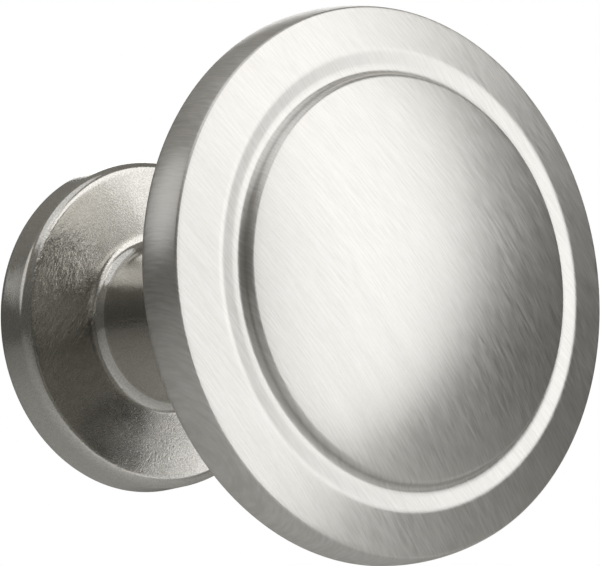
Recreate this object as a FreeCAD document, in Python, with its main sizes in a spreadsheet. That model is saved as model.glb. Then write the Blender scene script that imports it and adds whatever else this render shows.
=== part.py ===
"""Cabinet knob: one zinc die casting, plated and satin brushed, held by one machine screw from behind.

The knob is as it sits on an upright door. Its axis is Y, the back of its base lies in the plane y = 0,
and its face looks along -Y, with +Z up. Sizes are in millimetres.
"""
import FreeCAD
import Part
import math
import os

import Sketcher

doc = FreeCAD.newDocument("cabinet_knob")


# Driving dimensions

# Heights run along the axis, away from the back of the base.
SIZES = [
    ("projection", 28.65, "height of the crown of the dome above the back of the base"),
    ("face_diameter", 32.0, "diameter of the head at the back of its rim"),
    ("base_diameter", 20.8, "diameter of the base flange at its back"),
    ("base_thickness", 2.75, "height of the front face of the base flange"),
    ("base_draft", 0.15, "how far the flange's side leans in towards the front"),
    ("base_front_round", 0.65, "rounding of the front edge of the base"),
    ("base_back_round", 0.3, "rounding of the back edge of the base"),
    ("foot_diameter", 10.0, "diameter of the stem where it leaves the face of the base"),
    ("foot_fillet", 0.95, "fillet between the face of the base and the stem"),
    ("stem_hollow", 26.0, "radius of the stem's hollow outline"),
    ("shoulder_diameter", 15.0, "diameter of the stem where it meets the back of the head"),
    ("shoulder_fillet", 4.5, "fillet between the stem and the back of the head"),
    ("head_back_rise", 1.3, "how far the back of the head comes forward from the stem to the rim"),
    ("rim_width", 3.0, "axial width of the rim"),
    ("rim_lean", 0.28, "how far the rim's front edge stands in from its back edge"),
    ("rim_bulge", 7.0, "radius of the bulged side of the rim"),
    ("rim_back_round", 0.7, "rounding of the back edge of the rim"),
    ("rim_front_round", 0.18, "rounding of the front edge of the rim"),
    ("ring_rise", 0.62, "how far the ring comes forward from its outer to its inner edge"),
    ("ring_inner_round", 0.25, "rounding of the inner edge of the ring"),
    ("dome_diameter", 23.4, "diameter of the dome"),
    ("gutter_width", 1.45, "radial width of the gutter between the ring and the dome"),
    ("gutter_depth", 0.18, "depth of the gutter, from the ring's inner edge to the foot of the dome"),
    ("dome_step", 0.75, "height of the dome's side above its foot"),
    ("dome_foot_fillet", 0.45, "fillet at the foot of the dome's side"),
    ("dome_radius", 38.0, "spherical radius of the dome"),
    ("dome_edge_round", 0.45, "rounding of the edge of the dome"),
    ("thread_depth", 13.0, "depth of the tapped hole"),
    ("thread_lead_in", 4.0, "diameter of the countersink at the mouth of the tapped hole"),
]

sheet = doc.addObject("Spreadsheet::Sheet", "Sizes")
for row, (alias, value, note) in enumerate(SIZES, start=1):
    sheet.set(f"A{row}", alias)
    sheet.set(f"B{row}", str(value))
    sheet.set(f"C{row}", note)
    sheet.setAlias(f"B{row}", alias)
doc.recompute()


def size(alias):
    """The value of a driving dimension."""
    return float(getattr(sheet, alias))


def attach(sketch, body, role):
    """Lay a sketch flat on one of its body's own origin planes."""
    plane = [part for part in body.Origin.OriginFeatures if part.Role == role][0]
    sketch.AttachmentSupport = [(plane, "")]
    sketch.MapMode = "FlatFace"


# Corners of the outline

# Each is worked out as (radius, height), so that the sketch starts at its solution and edges can be found.
sag = size("dome_radius") - math.sqrt(size("dome_radius") ** 2 - (size("dome_diameter") / 2) ** 2)
dome_edge_height = size("projection") - sag
dome_foot_height = dome_edge_height - size("dome_step")
ring_height = dome_foot_height + size("gutter_depth")
rim_front_height = ring_height - size("ring_rise")
rim_back_height = rim_front_height - size("rim_width")
shoulder_height = rim_back_height - size("head_back_rise")

CORNERS = {
    "back_centre": (0.0, 0.0),
    "base_back": (size("base_diameter") / 2, 0.0),
    "base_front": (size("base_diameter") / 2 - size("base_draft"), size("base_thickness")),
    "foot": (size("foot_diameter") / 2, size("base_thickness")),
    "shoulder": (size("shoulder_diameter") / 2, shoulder_height),
    "rim_back": (size("face_diameter") / 2, rim_back_height),
    "rim_front": (size("face_diameter") / 2 - size("rim_lean"), rim_front_height),
    "ring_inner": (size("dome_diameter") / 2 + size("gutter_width"), ring_height),
    "dome_foot": (size("dome_diameter") / 2, dome_foot_height),
    "dome_edge": (size("dome_diameter") / 2, dome_edge_height),
    "crown": (0.0, size("projection")),
}

# The runs of the outline in order, each as (start, end, radius). A line has no radius. A negative radius is a
# hollow in the metal, and a positive one a bulge.
OUTLINE = [
    ("back_centre", "base_back", None),
    ("base_back", "base_front", None),
    ("base_front", "foot", None),
    ("foot", "shoulder", -size("stem_hollow")),
    ("shoulder", "rim_back", None),
    ("rim_back", "rim_front", size("rim_bulge")),
    ("rim_front", "ring_inner", None),
    ("ring_inner", "dome_foot", None),
    ("dome_foot", "dome_edge", None),
    ("dome_edge", "crown", size("dome_radius")),
    ("crown", "back_centre", None),
]


# Body of the casting

body = doc.addObject("PartDesign::Body", "Knob")
body.Label = "knob"

outline = body.newObject("Sketcher::SketchObject", "Outline")
attach(outline, body, "XY_Plane")

# Where each run starts and ends, as (geometry number, point number), and where each corner is.
starts = []
stops = []
at = {}

for start_name, end_name, radius in OUTLINE:
    start = FreeCAD.Vector(CORNERS[start_name][0], -CORNERS[start_name][1], 0)
    end = FreeCAD.Vector(CORNERS[end_name][0], -CORNERS[end_name][1], 0)
    if radius is None:
        number = outline.addGeometry(Part.LineSegment(start, end), False)
        starts.append((number, 1))
        stops.append((number, 2))
    else:
        run = end - start
        inward = FreeCAD.Vector(run.y, -run.x, 0).normalize()
        reach = math.sqrt(radius ** 2 - (run.Length / 2) ** 2)
        centre = start + run * 0.5 + inward * math.copysign(reach, radius)
        first, last = (end, start) if radius > 0 else (start, end)
        angle_1 = math.atan2(first.y - centre.y, first.x - centre.x)
        angle_2 = math.atan2(last.y - centre.y, last.x - centre.x)
        if angle_2 < angle_1:
            angle_2 += 2 * math.pi
        circle = Part.Circle(centre, FreeCAD.Vector(0, 0, 1), abs(radius))
        number = outline.addGeometry(Part.ArcOfCircle(circle, angle_1, angle_2), False)
        starts.append((number, 2) if radius > 0 else (number, 1))
        stops.append((number, 1) if radius > 0 else (number, 2))
    at[start_name] = starts[-1]

for index, stop in enumerate(stops):
    following = starts[(index + 1) % len(starts)]
    outline.addConstraint(Sketcher.Constraint("Coincident", *stop, *following))

RUN = {(start, end): number for number, (start, end, radius) in enumerate(OUTLINE)}

# In a sketch, point 1 of geometry -1 is its origin, and geometry -2 is its vertical axis.
outline.addConstraint(Sketcher.Constraint("Coincident", *at["back_centre"], -1, 1))
outline.addConstraint(Sketcher.Constraint("Horizontal", RUN["back_centre", "base_back"]))
outline.addConstraint(Sketcher.Constraint("Horizontal", RUN["base_front", "foot"]))
outline.addConstraint(Sketcher.Constraint("Vertical", RUN["dome_foot", "dome_edge"]))
outline.addConstraint(Sketcher.Constraint("Vertical", RUN["crown", "back_centre"]))
outline.addConstraint(Sketcher.Constraint("PointOnObject", RUN["dome_edge", "crown"], 3, -2))


# The dimensions of the outline, each as (kind, from, to, expression): radii outwards, heights backwards.
DIMENSIONS = [
    ("DistanceX", "back_centre", "base_back", "Sizes.base_diameter / 2"),
    ("DistanceX", "base_front", "base_back", "Sizes.base_draft"),
    ("DistanceX", "back_centre", "foot", "Sizes.foot_diameter / 2"),
    ("DistanceX", "back_centre", "shoulder", "Sizes.shoulder_diameter / 2"),
    ("DistanceX", "back_centre", "rim_back", "Sizes.face_diameter / 2"),
    ("DistanceX", "rim_front", "rim_back", "Sizes.rim_lean"),
    ("DistanceX", "dome_foot", "ring_inner", "Sizes.gutter_width"),
    ("DistanceX", "back_centre", "dome_foot", "Sizes.dome_diameter / 2"),
    ("DistanceY", "base_front", "base_back", "Sizes.base_thickness"),
    ("DistanceY", "crown", "back_centre", "Sizes.projection"),
    ("DistanceY", "dome_edge", "dome_foot", "Sizes.dome_step"),
    ("DistanceY", "ring_inner", "dome_foot", "Sizes.gutter_depth"),
    ("DistanceY", "ring_inner", "rim_front", "Sizes.ring_rise"),
    ("DistanceY", "rim_front", "rim_back", "Sizes.rim_width"),
    ("DistanceY", "rim_back", "shoulder", "Sizes.head_back_rise"),
]

for kind, near, far, expression in DIMENSIONS:
    if kind == "DistanceX":
        value = CORNERS[far][0] - CORNERS[near][0]
    else:
        value = CORNERS[near][1] - CORNERS[far][1]
    number = outline.addConstraint(Sketcher.Constraint(kind, *at[near], *at[far], value))
    outline.setExpression(f"Constraints[{number}]", expression)

for run, alias in [
    (RUN["foot", "shoulder"], "stem_hollow"),
    (RUN["rim_back", "rim_front"], "rim_bulge"),
    (RUN["dome_edge", "crown"], "dome_radius"),
]:
    number = outline.addConstraint(Sketcher.Constraint("Radius", run, size(alias)))
    outline.setExpression(f"Constraints[{number}]", f"Sizes.{alias}")
doc.recompute()

casting = body.newObject("PartDesign::Revolution", "Casting")
casting.Profile = outline
casting.ReferenceAxis = (outline, ["V_Axis"])
casting.Angle = 360
doc.recompute()


# Roundings and fillets

ROUNDS = [
    ("BaseBackRound", "base_back", "base_back_round"),
    ("BaseFrontRound", "base_front", "base_front_round"),
    ("FootFillet", "foot", "foot_fillet"),
    ("ShoulderFillet", "shoulder", "shoulder_fillet"),
    ("RimBackRound", "rim_back", "rim_back_round"),
    ("RimFrontRound", "rim_front", "rim_front_round"),
    ("RingInnerRound", "ring_inner", "ring_inner_round"),
    ("DomeFootFillet", "dome_foot", "dome_foot_fillet"),
    ("DomeEdgeRound", "dome_edge", "dome_edge_round"),
]


def edge_at(shape, corner):
    """The name of the round edge of a shape that lies on a corner of the outline."""
    radius, height = CORNERS[corner]
    for number, edge in enumerate(shape.Edges, start=1):
        if not isinstance(edge.Curve, Part.Circle):
            continue
        same_radius = abs(edge.Curve.Radius - radius) < 1e-3
        same_height = abs(edge.Curve.Center.y + height) < 1e-3
        if same_radius and same_height:
            return f"Edge{number}"
    raise ValueError(f"no edge at {corner}")


previous = casting
for name, corner, alias in ROUNDS:
    rounding = body.newObject("PartDesign::Fillet", name)
    rounding.Base = (previous, [edge_at(previous.Shape, corner)])
    rounding.setExpression("Radius", f"Sizes.{alias}")
    doc.recompute()
    previous = rounding


# Tapped hole

# It is drilled and countersunk from the back along the axis. Its thread is metric, 4 mm by 0.7 mm.
mouth = body.newObject("Sketcher::SketchObject", "Mouth")
attach(mouth, body, "XZ_Plane")
lead_in = Part.Circle(FreeCAD.Vector(0, 0, 0), FreeCAD.Vector(0, 0, 1), size("thread_lead_in") / 2)
circle = mouth.addGeometry(lead_in, False)
mouth.addConstraint(Sketcher.Constraint("Coincident", circle, 3, -1, 1))
number = mouth.addConstraint(Sketcher.Constraint("Diameter", circle, size("thread_lead_in")))
mouth.setExpression(f"Constraints[{number}]", "Sizes.thread_lead_in")
doc.recompute()

solid_volume = previous.Shape.Volume
hole = body.newObject("PartDesign::Hole", "ScrewHole")
hole.Profile = mouth
doc.recompute()
hole.Reversed = True
hole.ThreadType = "ISOMetricProfile"
hole.ThreadSize = "M4x0.7"
hole.Threaded = True
hole.ModelThread = False
hole.DepthType = "Dimension"
hole.DrillPoint = "Angled"
hole.DrillPointAngle = 118
hole.HoleCutType = "Countersink"
hole.HoleCutCustomValues = True
hole.HoleCutCountersinkAngle = 90
hole.setExpression("Depth", "Sizes.thread_depth")
hole.setExpression("HoleCutDiameter", "Sizes.thread_lead_in")
doc.recompute()


# Checks and files

for item in doc.Objects:
    if "Invalid" in item.State or "Error" in item.State:
        raise RuntimeError(f"{item.Label} failed: {item.State}")
if outline.solve() != 0:
    raise RuntimeError("the outline has no solution")
if solid_volume - body.Shape.Volume < 1:
    raise RuntimeError("the screw hole cuts nothing")

os.makedirs("parts", exist_ok=True)
for part in [body]:
    shape = part.Shape
    if shape.isNull() or not shape.isValid() or len(shape.Solids) != 1:
        raise RuntimeError(f"{part.Label} isn't one valid solid")
    shape.exportStep(f"parts/{part.Label}.step")
    box = shape.optimalBoundingBox(False)
    print(f"{part.Label}: volume {shape.Volume:.1f} mm3, x {box.XMin:.2f} to {box.XMax:.2f},", end=" ")
    print(f"y {box.YMin:.2f} to {box.YMax:.2f}, z {box.ZMin:.2f} to {box.ZMax:.2f}")
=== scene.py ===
"""Satin nickel cabinet knob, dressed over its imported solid.

The knob's axis is Y: the back of its base lies at y = 0 and its face looks along -Y. Metres throughout.
"""
import bpy
import bmesh
import math
from mathutils import Matrix, Quaternion, Vector, noise


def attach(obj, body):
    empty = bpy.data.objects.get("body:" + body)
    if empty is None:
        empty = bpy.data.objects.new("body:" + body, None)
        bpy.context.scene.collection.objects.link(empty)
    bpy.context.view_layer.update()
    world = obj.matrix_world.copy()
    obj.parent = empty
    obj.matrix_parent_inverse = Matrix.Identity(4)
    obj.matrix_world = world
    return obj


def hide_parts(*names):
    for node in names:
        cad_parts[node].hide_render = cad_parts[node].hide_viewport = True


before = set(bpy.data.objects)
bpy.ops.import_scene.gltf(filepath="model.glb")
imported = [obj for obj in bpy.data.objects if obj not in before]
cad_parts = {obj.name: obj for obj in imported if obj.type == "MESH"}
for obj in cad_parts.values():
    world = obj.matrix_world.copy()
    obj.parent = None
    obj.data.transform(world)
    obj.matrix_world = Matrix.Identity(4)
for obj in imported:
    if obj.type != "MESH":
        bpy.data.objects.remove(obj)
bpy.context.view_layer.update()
scene = bpy.context.scene

# The casting
# One zinc die casting: a round base, a slim hollow-sided stem and a dished head with a low dome inside a
# sloping ring. It is nickel plated; the face and rim are then brushed, and the rest keeps its cast skin.
MM = 0.001
TURN = 2 * math.pi
ROUND_STEPS = 320
PROJECTION = 28.65

# The half section in millimetres, from the crown outwards and back, each run as (radius and height where it
# ends, radius of its arc, cuts). The arc is 0 on a straight run and negative in a hollow.
SECTION = [
    (11.389, 26.903, 38.0, 26),    # dome
    (11.702, 26.535, 0.45, 8),     # side of the dome
    (12.046, 26.143, -0.40, 7),    # gutter
    (12.388, 26.140, -1.3, 6),
    (12.962, 26.211, 0, 3),
    (13.333, 26.187, 1.0, 5),      # inner edge of the ring
    (15.621, 25.638, 0, 10),       # ring
    (15.751, 25.515, 0.18, 4),
    (16.048, 23.194, 7.0, 12),     # side of the rim
    (15.454, 22.531, 0.7, 7),
    (9.827, 21.670, 0, 14),        # back of the head
    (6.368, 18.985, -4.5, 12),
    (4.831, 3.507, -26.0, 46),     # stem
    (5.761, 2.750, -0.95, 9),      # foot of the stem
    (9.635, 2.750, 0, 26),         # face of the base
    (10.284, 2.135, 0.65, 8),
    (10.383, 0.316, 0, 11),        # side of the base
    (10.083, 0.0, 0.3, 4),
    (2.250, 0.0, 0, 14),           # back of the base
    (2.0, 0.25, 0, 0),             # screw hole
    (2.0, 12.8, 0, 4),
    (0.0, 14.0, 0, 0),
]

casting = bmesh.new()
start = Vector((0, -PROJECTION * MM, 0))
for radius, height, bow, cuts in SECTION:
    end = Vector((radius * MM, -height * MM, 0))
    chord = end - start
    run = casting.edges.new((casting.verts.new(start), casting.verts.new(end)))
    cut = bmesh.ops.subdivide_edges(casting, edges=[run], cuts=cuts) if cuts else {"geom_inner": []}
    if bow:
        metal_side = Vector((-chord.y, chord.x, 0)).normalized()
        reach = math.sqrt((bow * MM) ** 2 - (chord.length / 2) ** 2)
        centre = start + chord / 2 + metal_side * math.copysign(reach, bow)
        for vert in cut["geom_inner"]:
            if isinstance(vert, bmesh.types.BMVert):
                vert.co = centre + (vert.co - centre).normalized() * abs(bow) * MM
    start = end
bmesh.ops.remove_doubles(casting, verts=casting.verts, dist=1e-7)

bmesh.ops.spin(casting, geom=list(casting.verts) + list(casting.edges), cent=(0, 0, 0), axis=(0, 1, 0),
               dvec=(0, 0, 0), angle=TURN, steps=ROUND_STEPS, use_merge=True, use_duplicate=False)
bmesh.ops.remove_doubles(casting, verts=casting.verts, dist=1e-7)
bmesh.ops.recalc_face_normals(casting, faces=casting.faces)

# Cast skin: the base, stem and back of the head are a little uneven, as the mould left them. The unevenness fades
# out towards the back of the base and towards the rim. Coarse and fine swells are (size, depth) in millimetres.
SKIN_ENDS = 22.4
HOLE_LIP = 3.0
COARSE, FINE = (3.2, 0.016), (1.1, 0.003)
for vert in casting.verts:
    height = -vert.co.y / MM
    radius = math.hypot(vert.co.x, vert.co.z) / MM
    if 0.02 < height < SKIN_ENDS and radius > HOLE_LIP:
        swell = sum(noise.noise(vert.co / (size * MM)) * depth for size, depth in (COARSE, FINE))
        fade = min(1.0, height / 0.6, (SKIN_ENDS - height) / 0.8)
        on_base_face = radius <= 10 and height <= 3.2
        outwards = Vector((0, -1, 0)) if on_base_face else Vector((vert.co.x, 0, vert.co.z)).normalized()
        vert.co += outwards * swell * fade * MM

# The brush runs straight across the face, down to the right, so its map is flat there. On the rim's side and on
# the rest the map goes round the axis instead. In both, U runs across the brush's lines.
BRUSH_ANGLE = math.radians(-49)
BRUSHED_FROM = 22.9
MAP_SCALE = 20
across = Vector((-math.sin(BRUSH_ANGLE), 0, math.cos(BRUSH_ANGLE)))
along = Vector((math.cos(BRUSH_ANGLE), 0, math.sin(BRUSH_ANGLE)))
brush_map = casting.loops.layers.uv.new("brush")
for face in casting.faces:
    face.smooth = True
    middle = face.calc_center_median()
    height = -middle.y / MM
    face.material_index = 0 if height > BRUSHED_FROM else 1
    flat = -face.normal.y > 0.45 and height > 24
    bearing = math.atan2(middle.z, middle.x)
    for loop in face.loops:
        spot = loop.vert.co
        if flat:
            loop[brush_map].uv = (spot.dot(across) * MAP_SCALE, spot.dot(along) * MAP_SCALE)
        else:
            swing = math.atan2(spot.z, spot.x) if spot.xz.length > 1e-6 else bearing
            swing = bearing + (swing - bearing + math.pi) % TURN - math.pi
            loop[brush_map].uv = (spot.y * MAP_SCALE, swing / TURN)


def put_in_scene(name, shape):
    """A new object made of this shape, which is used up."""
    mesh = bpy.data.meshes.new(name)
    shape.to_mesh(mesh)
    shape.free()
    thing = bpy.data.objects.new(name, mesh)
    scene.collection.objects.link(thing)
    return thing


def new_material(name):
    """A new material with its shader, its object coordinates and its links at hand."""
    material = bpy.data.materials.new(name)
    material.use_nodes = True
    nodes = material.node_tree.nodes
    links = material.node_tree.links
    shader = nodes["Principled BSDF"]
    place = nodes.new("ShaderNodeTexCoord").outputs["Object"]
    return material, nodes, links, shader, place


def grain(nodes, links, place, scale, detail, rotation=(0, 0, 0), rough=0.5):
    """A noise whose grains per millimetre along each axis are given by scale."""
    mapping = nodes.new("ShaderNodeMapping")
    mapping.vector_type = "TEXTURE"
    mapping.inputs["Rotation"].default_value = rotation
    mapping.inputs["Scale"].default_value = [MM / value for value in scale]
    links.new(place, mapping.inputs["Vector"])
    texture = nodes.new("ShaderNodeTexNoise")
    texture.inputs["Scale"].default_value = 1.0
    texture.inputs["Detail"].default_value = detail
    texture.inputs["Roughness"].default_value = rough
    links.new(mapping.outputs["Vector"], texture.inputs["Vector"])
    return texture.outputs["Fac"]


def remap(nodes, links, value, low, high, from_low=0.0, from_high=1.0):
    """Carry a value from one range to another."""
    node = nodes.new("ShaderNodeMapRange")
    node.inputs["From Min"].default_value = from_low
    node.inputs["From Max"].default_value = from_high
    node.inputs["To Min"].default_value = low
    node.inputs["To Max"].default_value = high
    links.new(value, node.inputs["Value"])
    return node.outputs["Result"]


def combine(nodes, links, operation, first, second):
    """Two values joined: their sum, their product or the greater of them."""
    node = nodes.new("ShaderNodeMath")
    node.operation = operation
    links.new(first, node.inputs[0])
    links.new(second, node.inputs[1])
    return node.outputs["Value"]


def colour_between(nodes, links, factor, dark, light):
    """A colour that goes from dark to light with the factor."""
    tint = nodes.new("ShaderNodeMix")
    tint.data_type = "RGBA"
    tint.inputs["A"].default_value = (*dark, 1)
    tint.inputs["B"].default_value = (*light, 1)
    links.new(factor, tint.inputs["Factor"])
    return tint.outputs["Result"]


def bump(nodes, links, height, depth, normal=None):
    """A bump of this depth in millimetres, over another one if it is given."""
    node = nodes.new("ShaderNodeBump")
    node.inputs["Strength"].default_value = 1.0
    node.inputs["Distance"].default_value = depth * MM
    links.new(height, node.inputs["Height"])
    if normal:
        links.new(normal, node.inputs["Normal"])
    return node.outputs["Normal"]


knob = put_in_scene("knob_casting", casting)

# Brushed nickel: fine straight lines, a soft warm grey, a highlight that spreads across the lines. The two grains
# are turned a degree or two off the brush, so that they don't repeat in step with it.
brushed, nodes, links, shader, place = new_material("brushed_nickel")
hairlines = grain(nodes, links, place, (0.7, 0.7, 9.0), 3, (0.02, -BRUSH_ANGLE - 0.03, 0), 0.6)
passes = grain(nodes, links, place, (0.12, 0.3, 1.3), 2, (0.01, -BRUSH_ANGLE + 0.02, 0), 0.5)
shader.inputs["Metallic"].default_value = 1.0
shader.inputs["Anisotropic"].default_value = 0.6
tangent = nodes.new("ShaderNodeTangent")
tangent.direction_type = "UV_MAP"
tangent.uv_map = "brush"
links.new(tangent.outputs["Tangent"], shader.inputs["Tangent"])
lines = remap(nodes, links, hairlines, 0, 1, 0.36, 0.64)
colour = colour_between(nodes, links, lines, (0.615, 0.605, 0.580), (0.720, 0.712, 0.690))
links.new(colour, shader.inputs["Base Color"])
pass_roughness = remap(nodes, links, passes, 0.285, 0.315, 0.3, 0.7)
line_roughness = remap(nodes, links, lines, 0.0, 0.07)
links.new(combine(nodes, links, "ADD", pass_roughness, line_roughness), shader.inputs["Roughness"])
links.new(bump(nodes, links, hairlines, 0.0050), shader.inputs["Normal"])
knob.data.materials.append(brushed)

# Cast nickel plate: the same metal over the casting's skin. It is a fine dark satin on the base, with short
# wrinkles on its left and small pits low down, and it is smooth and bright on the stem and its fillets.
cast, nodes, links, shader, place = new_material("cast_nickel_plate")


def times(first, second):
    """The product of two values of the cast plate."""
    return combine(nodes, links, "MULTIPLY", first, second)


def ramp(coordinate, nothing_at, full_at):
    """0 at the first place along a coordinate, in millimetres, and 1 at the second and beyond."""
    return remap(nodes, links, coordinate, 0.0, 1.0, nothing_at * MM, full_at * MM)


axes = nodes.new("ShaderNodeSeparateXYZ")
links.new(place, axes.inputs["Vector"])
low_down = ramp(axes.outputs["Z"], -2.0, -6.5)
mid_height = ramp(axes.outputs["Z"], -3.5, -0.5)
not_high = ramp(axes.outputs["Z"], 6.5, 3.5)
on_left = ramp(axes.outputs["X"], -4.5, -6.5)
base = ramp(axes.outputs["Y"], -3.1, -2.8)
base_face = times(base, ramp(axes.outputs["Y"], -2.62, -2.72))
shader.inputs["Metallic"].default_value = 1.0

satin = grain(nodes, links, place, (11.0, 11.0, 11.0), 2, rough=0.6)
satin_tint = remap(nodes, links, satin, 0, 1, 0.3, 0.7)
colour = colour_between(nodes, links, satin_tint, (0.44, 0.429, 0.401), (0.64, 0.628, 0.595))
links.new(colour, shader.inputs["Base Color"])
skin = bump(nodes, links, times(satin, remap(nodes, links, base, 0.1, 1.0)), 0.0045)

wrinkles = grain(nodes, links, place, (6.0, 1.3, 1.5), 3, (0, math.radians(28), 0), 0.6)
wrinkled = times(times(mid_height, not_high), times(on_left, base_face))
skin = bump(nodes, links, times(wrinkles, wrinkled), 0.052, skin)

pits = nodes.new("ShaderNodeTexVoronoi")
pits.inputs["Scale"].default_value = 2.5 / MM
links.new(place, pits.inputs["Vector"])
pit_floor = remap(nodes, links, pits.outputs["Distance"], 0, 1, 0.04, 0.30)
skin = bump(nodes, links, times(pit_floor, times(low_down, base_face)), 0.005, skin)
links.new(skin, shader.inputs["Normal"])

patches = grain(nodes, links, place, (0.45, 0.45, 0.45), 2)
dulled = remap(nodes, links, patches, 0.0, 0.07, 0.35, 0.65)
dulled = combine(nodes, links, "ADD", dulled, remap(nodes, links, low_down, 0.0, 0.07))
roughness = combine(nodes, links, "ADD", remap(nodes, links, base, 0.08, 0.12), dulled)
links.new(roughness, shader.inputs["Roughness"])
knob.data.materials.append(cast)

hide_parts("knob")
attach(knob, "root")

# The thread
# The screw hole is tapped M4 by 0.7 mm: a helical ridge of the same casting, bare where the tap cut it.
# The ridge's section is four corners, each as (radius, height) in millimetres.
PITCH = 0.7
THREAD_TURNS = 15
STEPS_A_TURN = 48
RIDGE = [(2.03, 0.55), (1.66, 0.86), (1.66, 0.94), (2.03, 1.25)]
thread = bmesh.new()
ridge = thread.faces.new([thread.verts.new((radius * MM, -height * MM, 0)) for radius, height in RIDGE])
bmesh.ops.spin(thread, geom=[ridge], cent=(0, 0, 0), axis=(0, -1, 0), dvec=(0, -PITCH * MM / STEPS_A_TURN, 0),
               angle=TURN * THREAD_TURNS, steps=STEPS_A_TURN * THREAD_TURNS, use_merge=False, use_duplicate=False)
bmesh.ops.recalc_face_normals(thread, faces=thread.faces)
for face in thread.faces:
    face.smooth = True
screw_thread = put_in_scene("screw_thread", thread)

bare, nodes, links, shader, place = new_material("tapped_zinc")
shader.inputs["Metallic"].default_value = 1.0
swirl = grain(nodes, links, place, (1.0, 14.0, 1.0), 3)
colour = colour_between(nodes, links, swirl, (0.50, 0.50, 0.50), (0.62, 0.62, 0.61))
links.new(colour, shader.inputs["Base Color"])
links.new(remap(nodes, links, swirl, 0.25, 0.45), shader.inputs["Roughness"])
screw_thread.data.materials.append(bare)
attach(screw_thread, "root")

# The camera
# It stands to the left of the knob and a little below it, far off with a long lens, and looks up at the face.
# The aim is a little off the target, by a yaw and a pitch. The focal length is in pixels of the picture.
AZIMUTH, ELEVATION = -39.12, -8.58
YAW, PITCH_UP = math.radians(-0.637), math.radians(0.177)
TARGET = Vector((0, -0.01964, 0))
CAMERA_DISTANCE = 0.1745
FOCAL_LENGTH, PICTURE_WIDTH, SENSOR_WIDTH = 2999, 600, 36


def way(round_right, upwards):
    """The direction this many degrees round to the right of the front, and this many up."""
    turn, rise = math.radians(round_right), math.radians(upwards)
    return Vector((math.sin(turn) * math.cos(rise), -math.cos(turn) * math.cos(rise), math.sin(rise)))


def turned(first, second, angle):
    """Two square directions turned in their plane, the first towards the second."""
    return first * math.cos(angle) + second * math.sin(angle), second * math.cos(angle) - first * math.sin(angle)


towards = way(AZIMUTH, ELEVATION)
right = way(AZIMUTH + 90, 0)
ahead = -towards
up = right.cross(ahead)
ahead, right = turned(ahead, right, YAW)
ahead, up = turned(ahead, up, PITCH_UP)
camera_data = bpy.data.cameras.new("camera")
camera_data.sensor_width = SENSOR_WIDTH
camera_data.lens = FOCAL_LENGTH * SENSOR_WIDTH / PICTURE_WIDTH
camera_data.clip_start = 0.01
camera = bpy.data.objects.new("camera", camera_data)
stance = Matrix((right, up, -ahead)).transposed().to_4x4()
stance.translation = TARGET + towards * CAMERA_DISTANCE
camera.matrix_world = stance
scene.collection.objects.link(camera)
scene.camera = camera

# Floor and light
# A plain pale floor below the knob, a large soft lamp in front to the right and smaller ones round about. The knob
# hangs in a tent that is open high on the left; the metal mirrors it, and the camera doesn't see it. The tent is
# painted light: it is black and glows a dim warm grey, as lit cloth would look.
FLOOR_HEIGHT = -0.15
FLOOR_GLOW = 0.05
TENT_RADIUS = 1.5
ground = bmesh.new()
bmesh.ops.create_circle(ground, cap_ends=True, segments=96, radius=TENT_RADIUS)
bmesh.ops.translate(ground, verts=ground.verts, vec=(0, 0, FLOOR_HEIGHT))
floor = put_in_scene("floor", ground)
pale, nodes, links, shader, place = new_material("pale_floor")
shader.inputs["Base Color"].default_value = (0.74, 0.74, 0.73, 1)
shader.inputs["Roughness"].default_value = 0.7
shader.inputs["Emission Color"].default_value = (1, 1, 1, 1)


def background_ray(nodes, links):
    """1 on rays that look at the background: from the camera, or by way of metal or glass."""
    ray = nodes.new("ShaderNodeLightPath").outputs
    direct_or_metal = combine(nodes, links, "MAXIMUM", ray["Is Camera Ray"], ray["Is Glossy Ray"])
    return combine(nodes, links, "MAXIMUM", direct_or_metal, ray["Is Transmission Ray"])


glow = remap(nodes, links, background_ray(nodes, links), 0.0, FLOOR_GLOW)
links.new(glow, shader.inputs["Emission Strength"])
floor.data.materials.append(pale)

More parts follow.
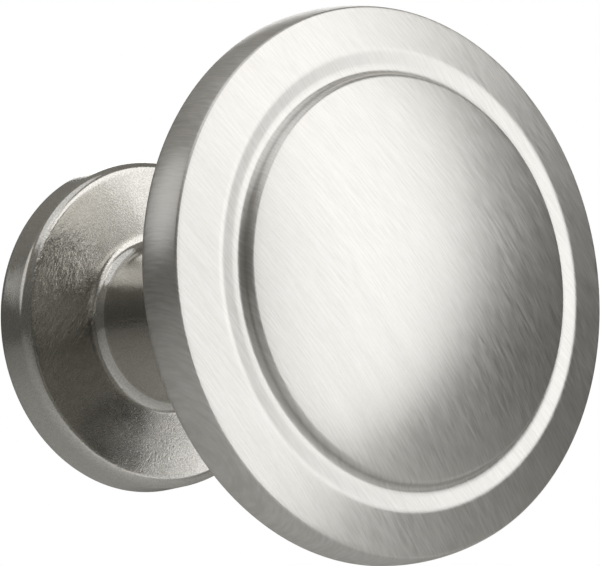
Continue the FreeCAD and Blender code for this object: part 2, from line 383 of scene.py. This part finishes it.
# The tent is a ball cut off at the floor and at a round opening, which takes the last tenth of its radius.
opening = Vector((-0.34, -0.20, 0.92)).normalized()
tent_shape = bmesh.new()
bmesh.ops.create_icosphere(tent_shape, subdivisions=4, radius=TENT_RADIUS)
for spot, facing, cut_side in [(Vector((0, 0, FLOOR_HEIGHT)), Vector((0, 0, 1)), "clear_inner"),
                               (opening * TENT_RADIUS * 0.90, opening, "clear_outer")]:
    everything = list(tent_shape.verts) + list(tent_shape.edges) + list(tent_shape.faces)
    bmesh.ops.bisect_plane(tent_shape, geom=everything, plane_co=spot, plane_no=facing, **{cut_side: True})
tent = put_in_scene("glowing_tent", tent_shape)
tent.visible_camera = False
# Painted light and shade: the tent's cloth is black and only glows, and its glow is painted lighter towards the
# top and dimmer to the right, as lamplight would fall on grey cloth.
tent_glow, nodes, links, shader, place = new_material("painted_tent_light")
shader.inputs["Base Color"].default_value = (0, 0, 0, 1)
shader.inputs["Specular IOR Level"].default_value = 0.0
shader.inputs["Emission Color"].default_value = (1.0, 0.965, 0.89, 1)
axes = nodes.new("ShaderNodeSeparateXYZ")
links.new(place, axes.inputs["Vector"])
painted_light_above = remap(nodes, links, axes.outputs["Z"], 0.13, 0.30, 0.3, 1.1)
painted_shade_right = remap(nodes, links, axes.outputs["X"], 1.0, 0.8, 0.2, 1.0)
painted_glow = combine(nodes, links, "MULTIPLY", painted_light_above, painted_shade_right)
links.new(painted_glow, shader.inputs["Emission Strength"])
tent.data.materials.append(tent_glow)

# Each lamp is an ellipse: the way to it from the knob, as degrees round to the right and up, its distance, width,
# height and lean to the right, and its brightness, where 1 is white.
LAMP_TARGET = Vector((0, -0.018, 0))
LAMPS = [
    ("front_lamp", 22.4, 18, 0.30, 0.312, 0.512, 12, 1.46),
    ("back_lamp", 140, 27, 0.40, 0.20, 0.20, 0, 1.6),
    ("high_lamp", -22, 42, 0.40, 0.24, 0.18, 0, 0.8),
    ("left_lamp", -125, 24, 0.40, 0.26, 0.22, 0, 0.7),
]
for name, round_right, upwards, distance, width, height, lean, brightness in LAMPS:
    lamp = bpy.data.lights.new(name, "AREA")
    lamp.shape = "ELLIPSE"
    lamp.size, lamp.size_y = width, height
    area = width * height * math.pi / 4
    lamp.energy = brightness * math.pi * area
    stand = bpy.data.objects.new(name, lamp)
    direction = way(round_right, upwards)
    stand.location = LAMP_TARGET + direction * distance
    facing = direction.to_track_quat("Z", "Y") @ Quaternion((0, 0, 1), math.radians(-lean))
    stand.rotation_euler = facing.to_euler()
    scene.collection.objects.link(stand)

world = bpy.data.worlds.new("white")
world.use_nodes = True
scene.world = world
nodes, links = world.node_tree.nodes, world.node_tree.links
background = nodes["Background"]
background.inputs["Color"].default_value = (1, 1, 1, 1)
links.new(remap(nodes, links, background_ray(nodes, links), 0.6, 1.0), background.inputs["Strength"])
scene.view_settings.view_transform = "Standard"
